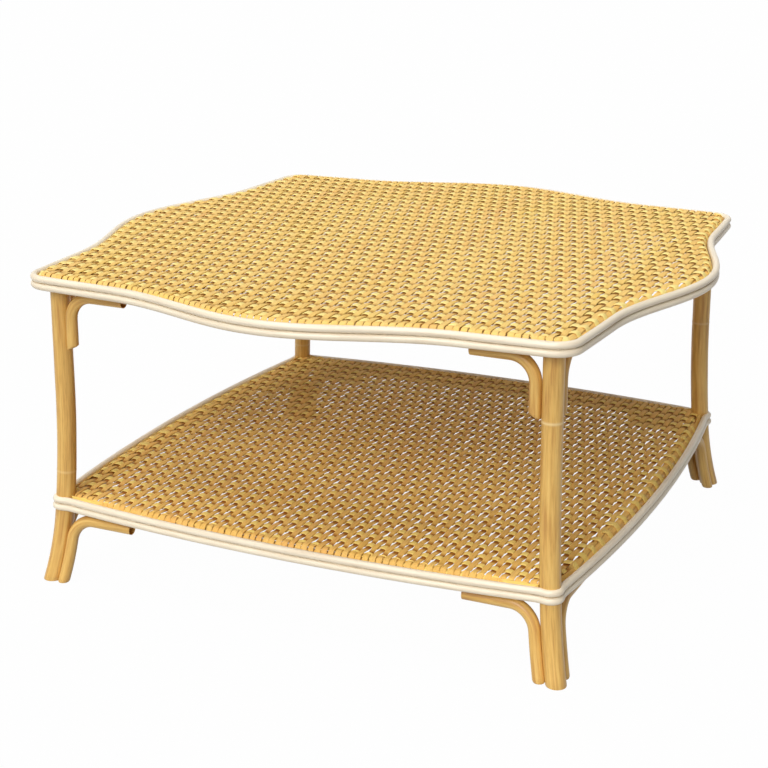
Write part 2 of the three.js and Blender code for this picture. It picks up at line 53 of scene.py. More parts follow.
shelf_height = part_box("shelf_woven_panel")[1].z
wrap_bottom_drop = top_high.z - top_low.z
leg_spacing = 0.759
leg_reach = leg_spacing / 2

# Radii of the rattan stock
leg_radius = 0.0145
rail_radius = 0.0105
edge_pole_radius = 0.006
shelf_pole_radius = 0.010
brace_radius = 0.00875
rod_radius = 0.00525

# Fits
clearance = 0.0003
pole_clearance = 0.0001
edge_pole_clearance = 0.0018

# Outlines, along the middle line of the rim rods
top_bow = 0.0136
swell_height = 0.055
swell_half_width = 0.266
top_corner_radius = 0.033
shelf_bow = 0.035
shelf_tuck = 0.010
shelf_turn_radius = 0.060
shelf_wrap_proud = 0.0045

# Woven panels. Lengthwise strands run along Y, crosswise ones along X.
weave_thickness = 0.0054
wrap_layer = 0.0014
rim_drop = 0.002
lengthwise = {"width": 0.0088, "thickness": 0.0018, "wave": 0.0013, "pitch": 0.0103}
crosswise = {"width": 0.0126, "thickness": 0.0016, "wave": 0.0015, "pitch": 0.0305}

# A reed's section, in shares of half its width and half its thickness: flat below, oval above
reed_places = np.array([-1, -0.88, -0.45, 0.45, 0.88, 1, 0.86, -0.86])
reed_heights = np.array([0, 0.68, 1, 1, 0.68, 0, -1, -1])

# Near the rim the strands stop weaving, spread a little and turn down over the edge pole
rim_margin = 0.012
rim_spread = 0.1
rim_turn = math.radians(50)
longest_turn = 0.04

# Irregularity of the strands: their place, their width, and sways given as size, waves and shift
strand_drift = 0.00045
strand_scales = (0.93, 1.04)
strand_sways = ((0.00035, 23, 2.3), (0.0002, 71, 4.1))

# Splay of the legs, feet and braces
splay_top = 0.300
splay_lean = math.radians(5.5)
foot_lean = math.radians(18)
brace_reach = 0.109
shelf_brace_reach = 0.119
brace_outsets = {"front_left": 0.0065, "front_right": 0.0025, "back_right": 0.004, "back_left": 0.004}
brace_drop = 0.080
brace_cut = math.radians(24)
brace_bends = {"front_left": 0.036, "front_right": 0.036, "back_right": 0.034, "back_left": 0.035}
shelf_brace_bend = 0.033

# Growth rings, as heights on the legs and lengths along the other poles
growth_ring_heights = {"front_left": 0.172, "front_right": 0.3605, "back_right": 0.295, "back_left": 0.16}
rail_rings = (0.31, 0.66)
shelf_pole_rings = (0.2, 0.5)
edge_pole_rings = (0.17, 0.55)
growth_ring_proud = 0.0005
growth_ring_width = 0.0009

# Rounding of cut ends, made in two rings, and the grain's reach from the middle on them
pole_edge = 0.0008
brace_edge = 0.0034
rounding_turns = (1, 0.5)
rounding_grain = (0.8, 0.95)

# Poles vary slowly in thickness, by shares of their radius and waves along their length
pole_swells = ((0.004, 37), (0.003, 91))
pole_shrink = 0.007

# Fineness of the meshes
leg_sides, rail_sides, edge_pole_sides, brace_sides, rod_sides = 32, 28, 24, 20, 20
bend_step = 0.003
arm_step = 0.004
brace_bend_points = 14
corner_points = 14
half_corner_points = 8
side_points = 90
edge_pole_points = 100
rail_points = 60
wrap_points = 14
reverse_points = 8
half_bow_points = 40
shoulder_turns = np.radians([12, 25, 38, 52, 66, 90])
stations_per_crossing = 4
halvings = 40
pole_sharp_angle = math.radians(40)
strand_sharp_angle = math.radians(34)
weld_distance = 0.000002

# Where things come to rest, worked out from the sizes above
wrap_stack = rod_radius + clearance + wrap_layer + clearance
top_rim_at_leg = leg_reach + leg_radius + edge_pole_clearance + 2 * edge_pole_radius + wrap_stack
top_pole_top = table_height - weave_thickness - clearance
shelf_pole_top = shelf_height - weave_thickness - clearance
rail_height = top_pole_top - rail_radius
edge_pole_height = top_pole_top - edge_pole_radius
shelf_pole_height = shelf_pole_top - shelf_pole_radius
top_rim_height = table_height - rim_drop - rod_radius
shelf_rim_height = shelf_height - rim_drop - rod_radius
rod_pitch = 2 * rod_radius + clearance
foot_top = shelf_rim_height - rod_pitch - rod_radius - clearance
splay_radius = (splay_top - foot_top) / math.sin(splay_lean)
foot_radius = foot_top / (math.sin(foot_lean) - math.sin(splay_lean))
brace_under_rail = rail_radius + brace_radius + pole_clearance
shelf_brace_height = shelf_pole_top - 2 * shelf_pole_radius - pole_clearance - brace_radius
quarter_turn = math.pi / 2

corners = {"front_left": (-1, -1), "front_right": (1, -1), "back_right": (1, 1), "back_left": (-1, 1)}
sides = ["back", "left", "front", "right"]
chance = np.random.RandomState(11)


def bow_radius(half_chord, rise):
    return (half_chord**2 + rise**2) / (2 * rise)


def leg_shift(height):
    """How far a leg has leaned out at a height, and how steeply it leans there."""
    splay = np.arcsin(np.clip((splay_top - height) / splay_radius, 0, math.sin(splay_lean)))
    below = np.maximum(foot_top - height, 0)
    lean = np.arcsin(np.sin(splay) + below / foot_radius)
    in_splay = splay_radius * (1 - np.cos(splay))
    in_foot = foot_radius * (np.cos(splay) - np.cos(lean))
    return in_splay + in_foot, np.tan(lean)


def leg_place(height):
    """How far from the table's middle a leg's axis is along X and Y at a height."""
    return leg_reach + float(leg_shift(height)[0]) / math.sqrt(2)


def diagonal_place(bow_centre, distance):
    """Where the table's diagonal is at a given distance from a bow's centre."""
    return (bow_centre + math.sqrt(2 * distance**2 - bow_centre**2)) / 2


top_bow_radius = bow_radius(leg_reach, top_bow)
top_bow_centre = top_rim_at_leg + top_bow - top_bow_radius
top_corner_place = diagonal_place(top_bow_centre, top_bow_radius - top_corner_radius)
top_corner_start = math.atan2(top_corner_place, top_corner_place - top_bow_centre)
shelf_leg_reach = leg_place(shelf_rim_height - rod_pitch / 2)
shelf_bow_radius = bow_radius(shelf_leg_reach, shelf_bow - shelf_tuck)
shelf_bow_centre = shelf_leg_reach + shelf_bow - shelf_bow_radius
wrap_radius = leg_radius + shelf_wrap_proud - rod_radius


def unit(vectors):
    return vectors / np.linalg.norm(vectors, axis=-1, keepdims=True)


def turned(route, turns):
    """A route turned about the table's middle by quarter turns."""
    c, s = round(math.cos(turns * quarter_turn)), round(math.sin(turns * quarter_turn))
    matrix = np.array([[c, -s, 0], [s, c, 0], [0, 0, 1]], float)
    return tuple(part @ matrix.T for part in route)


def joined(*routes):
    return tuple(np.concatenate(parts) for parts in zip(*routes))


def mirrored_back(route):
    """The other half of a back side: mirrored across its middle and run in the same sense."""
    points, tangents = route
    return points[::-1] * [-1, 1, 1], tangents[::-1] * [1, -1, 1]


def top_edge(x):
    """How far back the rim of the back side is at x, and its slope there."""
    level = np.sqrt(top_bow_radius**2 - x**2)
    phase = np.pi * x / swell_half_width
    in_swell = np.abs(x) < swell_half_width
    rise = np.where(in_swell, swell_height * (1 + np.cos(phase)) / 2, 0)
    rise_slope = np.where(in_swell, -swell_height * np.pi * np.sin(phase) / (2 * swell_half_width), 0)
    return top_bow_centre + level + rise, rise_slope - x / level


def top_side(inset, height, count):
    """One side of the top's outline at an inset, its corner fillets left out."""
    end = top_corner_place + top_corner_radius * math.sin(top_corner_start)
    x = np.linspace(end, -end, count)
    y, slope = top_edge(x)
    zero = np.zeros_like(x)
    outward = unit(np.stack([-slope, zero + 1, zero], -1))
    points = np.stack([x, y, zero + height], -1) - inset * outward
    return points, unit(np.stack([zero - 1, -slope, zero], -1))


def arc(centre, radius, angles, height, sense=1):
    """An arc about a point of the plan, its angles counted from +Y towards +X."""
    sine, cosine, zero = np.sin(angles), np.cos(angles), np.zeros_like(angles)
    points = np.stack([centre[0] + radius * sine, centre[1] + radius * cosine, zero + height], -1)
    return points, np.stack([-sense * cosine, sense * sine, zero], -1)


def top_corner(from_angle, inset, height, count):
    angles = np.linspace(from_angle, top_corner_start, count, endpoint=False)
    return arc((top_corner_place, top_corner_place), top_corner_radius - inset, angles, height)


def top_loop(inset, height):
    side = joined(
        top_corner(quarter_turn - top_corner_start, inset, height, corner_points),
        top_side(inset, height, side_points),
    )
    return joined(*(turned(side, turns) for turns in range(4)))


def turn_centre(place):
    """The centre of the reverse turn that touches the shelf's bow and the wrap round a leg."""
    to_leg = wrap_radius + shelf_turn_radius
    to_bow = shelf_bow_radius + shelf_turn_radius
    apart = math.hypot(place, place - shelf_bow_centre)
    along = (apart**2 + to_leg**2 - to_bow**2) / (2 * apart)
    aside = math.sqrt(to_leg**2 - along**2)
    ux, uy = -place / apart, (shelf_bow_centre - place) / apart
    return place + ux * along + uy * aside, place + uy * along - ux * aside


def shelf_rim_loop(height):
    place = leg_place(height)
    turn = turn_centre(place)
    leg = (place, place)
    bow = (0, shelf_bow_centre)
    wrap_end = math.atan2(turn[0] - leg[0], turn[1] - leg[1])
    bow_start = math.atan2(turn[0] - bow[0], turn[1] - bow[1])
    wrap_angles = np.linspace(quarter_turn / 2, wrap_end, wrap_points, endpoint=False)
    wrap = arc(leg, wrap_radius, wrap_angles, height)
    turn_angles = math.pi + np.linspace(wrap_end, bow_start, reverse_points, endpoint=False)
    reverse = arc(turn, shelf_turn_radius, turn_angles, height, -1)
    half_bow = arc(bow, shelf_bow_radius, np.linspace(bow_start, 0, half_bow_points), height)
    half = joined(wrap, reverse, half_bow)
    rest = mirrored_back(tuple(part[1:-1] for part in half))
    return joined(*(turned(joined(half, rest), turns) for turns in range(4)))


def shelf_side(inset, height, count):
    reach = math.asin(shelf_leg_reach / shelf_bow_radius)
    angles = np.linspace(reach, -reach, count)
    return arc((0, shelf_bow_centre), shelf_bow_radius - inset, angles, height)


def inset_in_top(x, y):
    """How far inside the middle line of the top's rim a point is."""
    x, y = np.abs(x), np.abs(y)
    insets = []
    for along, outward in ((x, y), (y, x)):
        edge, slope = top_edge(along)
        insets.append((edge - outward) / np.hypot(1, slope))
    angle = np.arctan2(x - top_corner_place, y - top_corner_place)
    in_corner = (angle > top_corner_start) & (angle < quarter_turn - top_corner_start)
    from_corner = np.hypot(x - top_corner_place, y - top_corner_place)
    return np.where(in_corner, top_corner_radius - from_corner, np.minimum(*insets))


def inset_in_shelf(x, y):
    x, y = np.abs(x), np.abs(y)
    to_back = shelf_bow_radius - np.hypot(x, y - shelf_bow_centre)
    to_side = shelf_bow_radius - np.hypot(y, x - shelf_bow_centre)
    return np.minimum(to_back, to_side)


# Materials


def srgb(red, green, blue):
    """A colour written as it looks, as the linear value that nodes take."""
    values = [c / 255 for c in (red, green, blue)]
    return [c / 12.92 if c <= 0.04045 else ((c + 0.055) / 1.055) ** 2.4 for c in values] + [1]


class Nodes:
    """A short way to write a material's node tree."""

    def __init__(self, name):
        self.material = bpy.data.materials.new(name)
        self.material.use_nodes = True
        self.tree = self.material.node_tree
        self.shader = self.tree.nodes["Principled BSDF"]

    def node(self, kind, **settings):
        made = self.tree.nodes.new(kind)
        for key, value in settings.items():
            setattr(made, key, value)
        return made

    def link(self, source, target):
        self.tree.links.new(source, target)

    def stretched(self, source, scale, detail=3, roughness=0.55):
        """Noise on coordinates that are scaled differently along and across the fibres."""
        mapping = self.node("ShaderNodeMapping")
        mapping.inputs["Scale"].default_value = scale
        self.link(source, mapping.inputs["Vector"])
        noise = self.node("ShaderNodeTexNoise")
        noise.inputs["Scale"].default_value = 1
        noise.inputs["Detail"].default_value = detail
        noise.inputs["Roughness"].default_value = roughness
        self.link(mapping.outputs["Vector"], noise.inputs["Vector"])
        return noise.outputs["Fac"]

    def ramp(self, source, *stops):
        made = self.node("ShaderNodeValToRGB")
        elements = made.color_ramp.elements
        while len(elements) < len(stops):
            elements.new(0.5)
        for element, (position, colour) in zip(elements, stops):
            element.position = position
            element.color = colour
        self.link(source, made.inputs["Fac"])
        return made.outputs["Color"]

    def mix(self, factor, first, second, blend="MIX"):
        made = self.node("ShaderNodeMix", data_type="RGBA", blend_type=blend)
        for value, socket in ((factor, made.inputs[0]), (first, made.inputs[6]), (second, made.inputs[7])):
            if isinstance(value, bpy.types.NodeSocket):
                self.link(value, socket)
            else:
                socket.default_value = value
        return made.outputs[2]

    def attribute(self, name, output):
        made = self.node("ShaderNodeAttribute", attribute_name=name)
        return made.outputs[output]

    def bump(self, height, strength, distance):
        made = self.node("ShaderNodeBump")
        made.inputs["Strength"].default_value = strength
        made.inputs["Distance"].default_value = distance
        self.link(height, made.inputs["Height"])
        self.link(made.outputs["Normal"], self.shader.inputs["Normal"])

    def finish(self, colour, roughness, specular=0.5):
        self.link(colour, self.shader.inputs["Base Color"])
        self.shader.inputs["Roughness"].default_value = roughness
        self.shader.inputs["Specular IOR Level"].default_value = specular
        return self.material


def grey(value):
    return [value, value, value, 1]


# Noise scales, across and along the grain, and tones by their places on a ramp
streak_scale = (210, 210, 13)
pole_fibre_scale = (1300, 1300, 60)
pore_scale = (2600, 2600, 20)
brushed_scale = (900, 900, 900)
strand_tones = (
    (0.0, srgb(232, 186, 98)),
    (0.22, srgb(250, 218, 128)),
    (0.45, srgb(240, 196, 110)),
    (0.65, srgb(253, 226, 144)),
    (0.82, srgb(236, 188, 118)),
    (1.0, srgb(250, 216, 116)),
)
patch_tones = (
    (0.3, srgb(238, 190, 112)),
    (0.5, srgb(252, 220, 132)),
    (0.7, srgb(246, 214, 110)),
)
cut_end_tones = ((0.35, srgb(168, 118, 62)), (0.5, srgb(204, 160, 92)), (0.7, srgb(220, 180, 112)))


def cane_material(name, fibre_scale, patch_scale, tint, share, hollow_shade):
    """Strips of cane: each has its own tone, with fibres and patches along it, and painted shade that
    darkens the hollows where a strand dips under the crossing ones.
    """
    made = Nodes(name)
    place = made.node("ShaderNodeTexCoord").outputs["Object"]
    tone = made.ramp(made.attribute("strand", "Fac"), *strand_tones)
    patch_tone = made.ramp(made.stretched(place, patch_scale, detail=2), *patch_tones)
    fibres = made.stretched(place, fibre_scale)
    lines = made.ramp(fibres, (0.36, grey(0.72)), (0.52, grey(1)), (0.75, grey(1)))
    colour = made.mix(0.5, tone, patch_tone)
    colour = made.mix(share, colour, tint)
    colour = made.mix(0.5, colour, lines, "MULTIPLY")
    # Painted shade: the colour is darkened towards the given shade colour where the strand lies deep in
    # the weave
    painted_shade = made.ramp(made.attribute("hollow_shade", "Fac"), (0.35, grey(1)), (0.8, hollow_shade))
    colour = made.mix(1, colour, painted_shade, "MULTIPLY")
    made.bump(fibres, strength=0.35, distance=0.0002)
    return made.finish(colour, roughness=0.6, specular=0.2)


def pole_material(name, tones, ring, streak_strength=1.0):
    """Peeled rattan: streaks along the pole, fine fibres and pale growth rings."""
    dark, middle, light = tones
    made = Nodes(name)
    grain = made.attribute("grain", "Vector")
    streaks = made.stretched(grain, streak_scale, detail=4)
    tone = made.ramp(streaks, (0.33, dark), (0.5, middle), (0.68, light))
    fibres = made.stretched(grain, pole_fibre_scale, detail=2)
    lines = made.ramp(fibres, (0.3, grey(0.8)), (0.55, grey(1)))
    colour = made.mix(0.45 * streak_strength, tone, lines, "MULTIPLY")
    colour = made.mix(made.attribute("ring", "Fac"), colour, ring)
    made.bump(fibres, strength=0.25, distance=0.0002)
    return made.finish(colour, roughness=0.4)


def cut_end_material():
    """The sawn end of a pole: open pores in a browner core."""
    made = Nodes("cut_end")
    grain = made.attribute("grain", "Vector")
    pores = made.stretched(grain, pore_scale, detail=1)
    colour = made.ramp(pores, *cut_end_tones)
    made.bump(pores, strength=0.4, distance=0.0003)
    return made.finish(colour, roughness=0.75)


def screw_material():
    made = Nodes("screw_steel")
    place = made.node("ShaderNodeTexCoord").outputs["Object"]
    brushed = made.stretched(place, brushed_scale)
    colour = made.ramp(brushed, (0.3, grey(0.4)), (0.7, grey(0.62)))
    made.shader.inputs["Metallic"].default_value = 1
    return made.finish(colour, roughness=0.35)


# Poles and rods


def mesh_object(name, vertices, faces, materials):
    mesh = bpy.data.meshes.new(name)
    mesh.from_pydata(vertices, [], faces)
    for material in materials:
        mesh.materials.append(material)
    made = bpy.data.objects.new(name, mesh)
    bpy.context.scene.collection.objects.link(made)
    return made


def set_attribute(mesh, name, kind, field, values):
    attribute = mesh.attributes.new(name, kind, "POINT")
    attribute.data.foreach_set(field, np.ascontiguousarray(values, np.float32).ravel())


def normals_along(tangents, first):
    """Normals that turn with a route and don't twist round it."""
    normals = []
    normal = np.array(first, float)
    for tangent in tangents:
        normal = unit(normal - tangent * (normal @ tangent))
        normals.append(normal)
    return np.array(normals)


def plane_stop(point, normal):
    """How far vertices go along a heading until they reach a plane."""

    def stop(vertices, heading):
        return (np.array(point) - vertices) @ np.array(normal) / (heading @ np.array(normal))

    return stop


def leg_stop(vertices, heading):
    """How far the vertices of a back pole go until they reach a leg or the mitre with the next pole."""
    side = np.sign(heading[0])
    place = leg_place(vertices[0, 2])
    leg = np.array([side * place, place])
    offset = vertices[:, :2] - leg
    flat = heading[:2]
    a, b = flat @ flat, offset @ flat
    c = (offset**2).sum(-1) - (leg_radius + clearance) ** 2
    under = np.maximum(b**2 - a * c, 0)
    to_leg = np.where(b**2 > a * c, (-b - np.sqrt(under)) / a, place)
    mitre = plane_stop([side * clearance / 2, clearance / 2, 0], [side, -1, 0])(vertices, heading)
    return np.minimum(to_leg, mitre)


def pole(name, route, radius, round_sides, skin, replaced, slot, stops=(None, None), **more):
    """A round pole along a route, with its ends cut where their stops say and their edges eased."""
    points, tangents = route
    rings_at, edge = more.get("rings_at", ()), more.get("edge", pole_edge)
    normals = normals_along(tangents, more.get("up", (0, 0, 1)))
    binormals = np.cross(tangents, normals)
    steps = np.linalg.norm(np.diff(points, axis=0), axis=-1)
    lengths = np.concatenate([[0], np.cumsum(steps)])
    swelling = np.zeros(len(points))
    for place in rings_at:
        swelling += np.exp(-(((lengths - place) / growth_ring_width) ** 2))
    slow = sum(share * np.sin(lengths * waves + chance.uniform(0, 6)) for share, waves in pole_swells)
    radii = radius * (1 - pole_shrink + slow) + growth_ring_proud * swelling
    angles = np.linspace(0, 2 * math.pi, round_sides, endpoint=False)
    cosines, sines = np.cos(angles), np.sin(angles)
    spokes = cosines[None, :, None] * normals[:, None, :] + sines[None, :, None] * binormals[:, None, :]
    rings = points[:, None, :] + radii[:, None, None] * spokes
    along = np.repeat(lengths[:, None], round_sides, axis=1)
    around = np.stack([radii[:, None] * cosines, radii[:, None] * sines], -1)
    ends = []
    for end, stop, sense in ((0, stops[0], -1), (-1, stops[1], 1)):
        heading = sense * tangents[end]
        moves = stop(rings[end], heading) if stop else np.zeros(round_sides)
        middle_move = stop(points[end][None], heading)[0] if stop else 0
        face = rings[end] + moves[:, None] * heading
        middle = points[end] + middle_move * heading
        rounding = []
        for turn in rounding_turns:
            drop, rise = 1 - math.cos(turn * quarter_turn), 1 - math.sin(turn * quarter_turn)
            rounding.append(middle + (face - middle) * (1 - drop * edge / radius) - rise * edge * heading)
        rings[end] = face - edge * heading
        ends.append((np.array(rounding), middle))
    ring_stack = np.concatenate([ends[0][0], rings, ends[1][0][::-1]])
    first_around = [around[:1] * share for share in rounding_grain]
    last_around = [around[-1:] * share for share in reversed(rounding_grain)]
    around = np.concatenate([*first_around, around, *last_around])
    along = np.concatenate([along[:1], along[:1], along, along[-1:], along[-1:]])
    ring_count = len(ring_stack)
    vertices = np.concatenate([ring_stack.reshape(-1, 3), ends[0][1][None], ends[1][1][None]])
    offset = chance.uniform(0, 9, 3)
    grain = np.concatenate([around, along[..., None]], -1).reshape(-1, 3)
    grain = np.concatenate([grain, [[0, 0, lengths[0]], [0, 0, lengths[-1]]]]) + offset
    faces = []
    for ring in range(ring_count - 1):
        for side in range(round_sides):
            following = (side + 1) % round_sides
            a, b = ring * round_sides + side, ring * round_sides + following
            faces.append((a, b, b + round_sides, a + round_sides))
    skin_faces = len(faces)
    first_middle = ring_count * round_sides
    last_ring = (ring_count - 1) * round_sides
    for side in range(round_sides):
        following = (side + 1) % round_sides
        faces.append((first_middle, following, side))
        faces.append((first_middle + 1, last_ring + side, last_ring + following))
    made = mesh_object(name, vertices.tolist(), faces, [skin, cut_end])
    indices = np.zeros(len(faces), np.int32)
    indices[skin_faces:] = 1
    made.data.polygons.foreach_set("material_index", indices)
    set_attribute(made.data, "grain", "FLOAT_VECTOR", "vector", grain)
    ring_share = np.repeat(np.concatenate([[0, 0], swelling, [0, 0]]), round_sides)
    set_attribute(made.data, "ring", "FLOAT", "value", np.concatenate([ring_share, [0, 0]]))
    made.data.shade_smooth()
    made.data.set_sharp_from_angle(angle=pole_sharp_angle)
    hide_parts(*replaced)
    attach(made, "root")
    return made


def leaned(route, corner):
    """A route beside an upright leg, moved and turned outwards with the leg's lean."""
    points, tangents = route
    shift, slope = leg_shift(points[:, 2])
    outward = np.array([*corners[corner], 0]) / math.sqrt(2)
    points = points + shift[:, None] * outward
    tangents = tangents - (slope * tangents[:, 2])[:, None] * outward
    return points, unit(tangents)


def make_leg(corner):
    x, y = corners[corner]
    heights = np.arange(top_pole_top, leg_radius * math.tan(foot_lean), -bend_step)
    zero = np.zeros_like(heights)
    points = np.stack([zero + x * leg_reach, zero + y * leg_reach, heights], -1)
    route = leaned((points, np.stack([zero, zero, zero - 1], -1)), corner)
    ring_at = top_pole_top - growth_ring_heights[corner]
    floor_stop = plane_stop([0, 0, 0], [0, 0, 1])
    pole(
        f"rattan_leg_{corner}",
        route,
        leg_radius,
        leg_sides,
        bark,
        [f"leg_{corner}"],
        "pole",
        (None, floor_stop),
        rings_at=[ring_at],
        up=(x, y, 0),
    )


def brace_route(corner, along, reach, height, bend_radius, bottom):
    """A brace's middle line: along an arm to its bend, then down beside its leg."""
    outset = brace_outsets[corner]
    beside = math.sqrt((leg_radius + brace_radius + pole_clearance) ** 2 - outset**2)
    inner = reach + brace_radius
    arm = np.arange(inner, beside + bend_radius, -arm_step)
    bend = np.linspace(0, quarter_turn, brace_bend_points)
    bend_end = height - bend_radius
    down = np.arange(bend_end - bend_step, bottom, -bend_step)
    inwards = np.concatenate([arm, beside + bend_radius * (1 - np.sin(bend)), beside + 0 * down])
    heights = np.concatenate([height + 0 * arm, height - bend_radius * (1 - np.cos(bend)), down])
    heading_in = np.concatenate([0 * arm - 1, -np.cos(bend), 0 * down])
    heading_up = np.concatenate([0 * arm, -np.sin(bend), 0 * down - 1])
    x, y = corners[corner]
    first, second = (x, y) if along == "x" else (y, x)
    down_arm, beside_leg = first * (leg_reach - inwards), 0 * inwards + second * (leg_reach + outset)
    headings = -first * heading_in
    flat = [down_arm, beside_leg] if along == "x" else [beside_leg, down_arm]
    flat_heading = [headings, 0 * headings] if along == "x" else [0 * headings, headings]
    return np.stack([*flat, heights], -1), np.stack([*flat_heading, heading_up], -1)


def cut_normal(axis, flat, upright):
    """The normal of a slanted cut across a brace that runs along an axis."""
    normal = np.zeros(3)
    normal[axis], normal[2] = flat, upright
    return normal


def make_brace(corner, along, tier):
    axis = "xy".index(along)
    first = corners[corner][axis]
    if tier == "top":
        height = rail_height - math.sqrt(brace_under_rail**2 - brace_outsets[corner] ** 2)
        low = height - brace_drop
        route = brace_route(corner, along, brace_reach, height, brace_bends[corner], low)
        tip_at = leg_reach - brace_reach
        low_point = route[0][-1].copy()
        low_point[2] = low
        low_cut = cut_normal(axis, -first * math.sin(brace_cut), -math.cos(brace_cut))
        last_stop = plane_stop(low_point, low_cut)
    else:
        low = brace_radius * math.tan(foot_lean)
        route = brace_route(corner, along, shelf_brace_reach, shelf_brace_height, shelf_brace_bend, low)
        route = leaned(route, corner)
        tip_at = leg_place(shelf_brace_height) - shelf_brace_reach
        last_stop = plane_stop([0, 0, 0], [0, 0, 1])
    tip = route[0][0].copy()
    tip[axis] = first * tip_at
    first_stop = plane_stop(tip, cut_normal(axis, -first * math.cos(brace_cut), -math.sin(brace_cut)))
    pole(
        f"rattan_{tier}_brace_{corner}_{along}",
        route,
        brace_radius,
        brace_sides,
        bark,
        [f"{tier}_brace_{corner}_{along}"],
        "pole",
        (first_stop, last_stop),
        edge=brace_edge,
        up=(0, 1, 0) if along == "x" else (1, 0, 0),
    )


def make_rails_and_poles():
    for turns, side in enumerate(sides):
        x = np.linspace(leg_reach - leg_radius, -leg_reach + leg_radius, rail_points)
        zero = np.zeros_like(x)
        rail = (
            np.stack([x, zero + leg_reach, zero + rail_height], -1),
            np.stack([zero - 1, zero, zero], -1),
        )
        fitted_pole(f"rattan_rail_{side}", rail, rail_radius, f"top_rail_{side}", turns, rail_rings)
        bowed = shelf_side(wrap_stack + shelf_pole_radius, shelf_pole_height, side_points)
        inner = tuple(part[2:-2] for part in bowed)
        node = f"shelf_pole_{side}"
        fitted_pole(f"rattan_{node}", inner, shelf_pole_radius, node, turns, shelf_pole_rings)
        make_edge_pole(side, turns)


def fitted_pole(name, route, radius, node, turns, rings_at):
    """A pole between two legs. Its ends are found on the back side, then it is turned into place."""
    stops = (leg_stop, leg_stop)
    made = pole(name, route, radius, rail_sides, bark, [node], "pole", stops, rings_at=rings_at)
    angle = turns * quarter_turn
    turn = np.array([[math.cos(angle), -math.sin(angle)], [math.sin(angle), math.cos(angle)]])
    places = np.empty(len(made.data.vertices) * 3, np.float32)
    made.data.vertices.foreach_get("co", places)
    places = places.reshape(-1, 3)
    places[:, :2] = places[:, :2] @ turn.T
    made.data.vertices.foreach_set("co", places.ravel())
    made.data.update()


def make_edge_pole(side, turns):
    inset = wrap_stack + edge_pole_radius
    right = top_corner(quarter_turn / 2, inset, edge_pole_height, half_corner_points)
    middle = top_side(inset, edge_pole_height, edge_pole_points)
    route = joined(right, middle, mirrored_back(right))
    points, tangents = turned(route, turns)
    points[0] += tangents[0] * clearance / 2
    points[-1] -= tangents[-1] * clearance / 2
    pole(
        f"rattan_edge_pole_{side}",
        (points, tangents),
        edge_pole_radius,
        edge_pole_sides,
        edge_cane,
        [f"top_edge_pole_{side}"],
        "pole",
        rings_at=edge_pole_rings,
    )


def make_rim_rod(name, loop, node):
    """A rod of the rim, whose two ends butt together in the middle of the back."""
    points, tangents = loop
    at_back = points[:, 1] > 0
    start = int(np.argmin(np.abs(points[:, 0]) + np.where(at_back, 0, 1)))
    points, tangents = np.roll(points, -start, axis=0), np.roll(tangents, -start, axis=0)
    points = np.concatenate([points, points[:1]])
    tangents = np.concatenate([tangents, tangents[:1]])
    points[0] += tangents[0] * clearance / 2
    points[-1] -= tangents[-1] * clearance / 2
    pole(name, (points, tangents), rod_radius, rod_sides, cream, [node], "rim_rod")


# Woven strands


def crossing(inset_of, across, target, reach):
    """The distance along each line at which its inset has shrunk to a target."""
    low, high = np.zeros_like(across), np.full_like(across, reach)
    for _ in range(halvings):
        middle = (low + high) / 2
        inside = inset_of(across, middle) > target
        low, high = np.where(inside, middle, low), np.where(inside, high, middle)
    return (low + high) / 2


def smooth_step(share):
    share = np.clip(share, 0, 1)
    return share * share * (3 - 2 * share)


class Panel:
    """What the strands of one woven panel lie on and how far they reach."""

    def __init__(self, tier, inset_of, height, pole_radius, reach, cut_at_legs):
        self.tier = tier
        self.height = height
        self.inset_of = inset_of
        self.pole_radius = pole_radius
        self.pole_height = height - weave_thickness - clearance - pole_radius
        self.pole_inset = wrap_stack + pole_radius
        self.wrap_rise = clearance + wrap_layer / 2
        self.shoulder = pole_radius + self.wrap_rise
        self.exit_inset = self.pole_inset - self.shoulder
        envelope = max(strand["wave"] + strand["thickness"] / 2 for strand in (lengthwise, crosswise))
        self.middle_rise = weave_thickness + clearance - envelope
        self.wrap_end = height - wrap_bottom_drop + clearance
        self.reach = reach
        self.cut_at_legs = cut_at_legs

    def ends(self, across, pitch):
        """Where strands start to turn down, where they end, and whether a leg cuts them short there."""
        farthest = self.reach + pitch
        end = crossing(self.inset_of, across, self.exit_inset, farthest)
        flat_end = crossing(self.inset_of, across, self.pole_inset, farthest)
        flat_end = np.maximum(flat_end, end - longest_turn)
        cut = np.zeros(across.shape, bool)
        if self.cut_at_legs:
            place = leg_place(self.height)
            aside = np.abs(np.abs(across) - place)
            seat = leg_radius + 2 * clearance
            at_leg = place - np.sqrt(np.maximum(seat**2 - aside**2, 0))
            cut = (aside < seat) & (at_leg < end)
            end = np.where(cut, at_leg, end)
            flat_end = np.where(cut, end, np.minimum(flat_end, end))
        return flat_end[:, None, :], end[:, None, :], cut[:, None, :]


